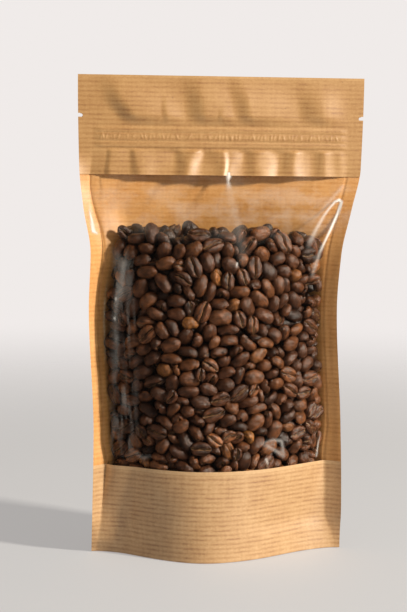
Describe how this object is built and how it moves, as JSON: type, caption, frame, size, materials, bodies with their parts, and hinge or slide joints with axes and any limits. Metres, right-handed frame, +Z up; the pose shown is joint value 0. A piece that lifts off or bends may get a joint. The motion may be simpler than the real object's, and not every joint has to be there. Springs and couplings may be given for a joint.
{
  "type": "coffee bag",
  "caption": "Filled stand-up pouch of ribbed kraft paper with a clear front window, press-to-close zip, tear notches and a folded bottom gusset, holding roasted coffee beans.",
  "frame": {"origin": "middle of the base of the standing pouch, on the surface it stands on", "axes": "+Z up along the height of the pouch, -Y out of the front face with the window, +X along its width, to the right as seen from the front"},
  "size_m": [0.14, 0.0597, 0.234],
  "materials": {
    "kraft": "matt ribbed kraft paper, lined on the inside with thin plastic film",
    "film": "clear thin plastic film, glossy, with soft folds and creases",
    "beans": "medium-dark roasted coffee beans with a satin surface"
  },
  "bodies": {
    "root": {"front_header": "kraft", "front_window": "film", "front_footer": "kraft", "back_panel": "kraft", "bottom_gusset": "kraft", "coffee_beans": "beans"}
  },
  "joints": []
}
